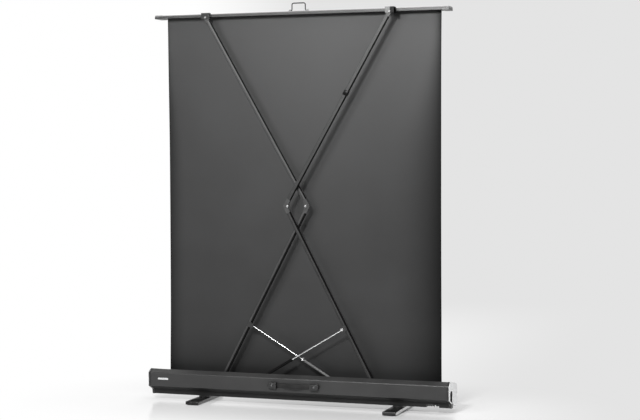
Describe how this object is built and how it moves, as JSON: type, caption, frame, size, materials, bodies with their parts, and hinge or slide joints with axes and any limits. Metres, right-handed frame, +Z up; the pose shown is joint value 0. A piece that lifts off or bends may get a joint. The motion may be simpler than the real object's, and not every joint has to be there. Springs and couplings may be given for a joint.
{
  "type": "pull-up projection screen",
  "caption": "Free-standing pull-up projection screen: a floor case with swivel feet, spring roller and folding scissor arms with gas struts that raise a top bar and fabric.",
  "frame": {"origin": "on the floor under the middle of the case", "axes": "+X along the case, to the right seen from the back; +Y towards the viewing side; +Z up"},
  "size_m": [1.4, 0.29, 1.779],
  "materials": {
    "case_paint": "black fine-texture powder coat",
    "cap_silver": "silver satin moulding",
    "bar_black": "black satin anodised",
    "arm_black": "black satin anodised",
    "moulded_black": "black moulded plastic",
    "bracket_black": "black painted steel",
    "bright_steel": "bright plated",
    "plain_steel": "zinc plated",
    "strut_grey": "dark grey satin paint",
    "rubber": "matt black rubber",
    "black_fabric": "black coated back",
    "white_coating": "matt white viewing surface"
  },
  "bodies": {
    "case": {"case_shell": "case_paint", "end_cap_left": "cap_silver", "end_cap_right": "cap_silver", "spring_mandrel": "plain_steel", "roller_axle": "plain_steel", "screen_fabric": "black_fabric", "viewing_surface": "white_coating", "base_bracket_left": "plain_steel", "base_bracket_right": "plain_steel", "base_pin_left": "plain_steel", "base_pin_right": "plain_steel", "strut_anchor_a": "plain_steel", "strut_anchor_b": "plain_steel", "handle_cap_left": "moulded_black", "handle_cap_right": "moulded_black", "foot_pivot_left": "bracket_black", "foot_pivot_right": "bracket_black"},
    "roller": {"roller_tube": "plain_steel", "fabric_wrap": "black_fabric", "roller_plug_left": "moulded_black", "roller_plug_right": "moulded_black", "roller_spring": "plain_steel"},
    "lower_arm_a": {"lower_arm_a": "arm_black", "base_eye_a": "moulded_black", "elbow_tongue_a": "moulded_black", "strut_clip_a": "bracket_black"},
    "upper_arm_a": {"upper_arm_a": "arm_black", "top_eye_a": "moulded_black", "elbow_fork_a": "moulded_black", "elbow_pin_a": "bright_steel"},
    "lower_arm_b": {"lower_arm_b": "arm_black", "base_eye_b": "moulded_black", "elbow_tongue_b": "moulded_black", "strut_clip_b": "bracket_black"},
    "upper_arm_b": {"upper_arm_b": "arm_black", "top_eye_b": "moulded_black", "elbow_fork_b": "moulded_black", "elbow_pin_b": "bright_steel"},
    "strut_rod_a": {"strut_rod_a": "bright_steel"},
    "strut_cylinder_a": {"strut_cylinder_a": "strut_grey"},
    "strut_rod_b": {"strut_rod_b": "bright_steel"},
    "strut_cylinder_b": {"strut_cylinder_b": "strut_grey"},
    "top_bar": {"top_bar": "bar_black", "bar_cap_left": "moulded_black", "bar_cap_right": "moulded_black", "fabric_keder": "rubber", "top_bracket_left": "bracket_black", "top_bracket_right": "bracket_black", "top_pin_left": "bright_steel", "top_pin_right": "bright_steel", "bail_bracket": "bracket_black"},
    "bail": {"bail": "plain_steel"},
    "handle": {"handle_grip": "rubber"},
    "foot_left": {"foot_left": "bracket_black", "foot_sole_left": "rubber"},
    "foot_right": {"foot_right": "bracket_black", "foot_sole_right": "rubber"},
    "lock": {"lock_slider": "moulded_black", "lock_knob": "bright_steel"}
  },
  "joints": [
    {"name": "lift", "type": "hinge", "parent": "case", "child": "lower_arm_a", "pos_m": [-0.373, -0.014, 0.08], "axis": [0, -1, 0], "range_deg": [-60.95, 0], "deforming": ["screen_fabric", "viewing_surface"]},
    {"name": "elbow_a", "type": "hinge", "parent": "lower_arm_a", "child": "upper_arm_a", "pos_m": [0.03895, -0.014, 0.88469], "axis": [0, -1, 0], "range_deg": [0, 119.88]},
    {"name": "bar_level", "type": "hinge", "parent": "upper_arm_a", "child": "top_bar", "pos_m": [-0.43, -0.014, 1.7235], "axis": [0, -1, 0], "range_deg": [-58.92, 0]},
    {"name": "lower_b", "type": "hinge", "parent": "case", "child": "lower_arm_b", "pos_m": [0.373, -0.033, 0.08], "axis": [0, -1, 0], "range_deg": [0, 60.97]},
    {"name": "elbow_b", "type": "hinge", "parent": "lower_arm_b", "child": "upper_arm_b", "pos_m": [-0.03895, -0.033, 0.88469], "axis": [0, -1, 0], "range_deg": [-119.88, 0]},
    {"name": "strut_pivot_a", "type": "hinge", "parent": "lower_arm_a", "child": "strut_rod_a", "pos_m": [-0.21169, -0.014, 0.34793], "axis": [0, -1, 0], "range_deg": [0, 91.78]},
    {"name": "strut_slide_a", "type": "slide", "parent": "strut_rod_a", "child": "strut_cylinder_a", "axis": [-0.8571, 0, 0.5152], "range_m": [0, 0.22909]},
    {"name": "strut_pivot_b", "type": "hinge", "parent": "lower_arm_b", "child": "strut_rod_b", "pos_m": [0.21169, -0.033, 0.34793], "axis": [0, -1, 0], "range_deg": [-91.78, 0]},
    {"name": "strut_slide_b", "type": "slide", "parent": "strut_rod_b", "child": "strut_cylinder_b", "axis": [0.8571, 0, 0.5152], "range_m": [0, 0.22909]},
    {"name": "roller_turn", "type": "hinge", "parent": "case", "child": "roller", "pos_m": [0, 0.0205, 0.078], "axis": [1, 0, 0], "range_deg": [-4304.4, 0]},
    {"name": "bail_swing", "type": "hinge", "parent": "top_bar", "child": "bail", "pos_m": [0, 0.014, 1.7446], "axis": [1, 0, 0], "range_deg": [-88, 0]},
    {"name": "grip_lift", "type": "slide", "parent": "case", "child": "handle", "axis": [0, -1, 0], "range_m": [0, 0.008]},
    {"name": "foot_turn_left", "type": "hinge", "parent": "case", "child": "foot_left", "pos_m": [-0.455, 0, 0], "axis": [0, 0, 1], "range_deg": [0, 90]},
    {"name": "foot_turn_right", "type": "hinge", "parent": "case", "child": "foot_right", "pos_m": [0.455, 0, 0], "axis": [0, 0, 1], "range_deg": [0, 90]},
    {"name": "lock_slide", "type": "slide", "parent": "case", "child": "lock", "axis": [-1, 0, 0], "range_m": [0, 0.03]}
  ],
  "couplings": [
    {"joint": "elbow_a", "follows": "lift", "ratio": -1.9665},
    {"joint": "bar_level", "follows": "lift", "ratio": 0.96653},
    {"joint": "lower_b", "follows": "lift", "ratio": -1},
    {"joint": "elbow_b", "follows": "lift", "ratio": 1.9665},
    {"joint": "strut_pivot_a", "follows": "lift", "ratio": -1.5056},
    {"joint": "strut_slide_a", "follows": "lift", "m_per_rad": -0.21515},
    {"joint": "strut_pivot_b", "follows": "lift", "ratio": 1.5056},
    {"joint": "strut_slide_b", "follows": "lift", "m_per_rad": -0.21515},
    {"joint": "roller_turn", "follows": "lift", "ratio": 70.6}
  ]
}
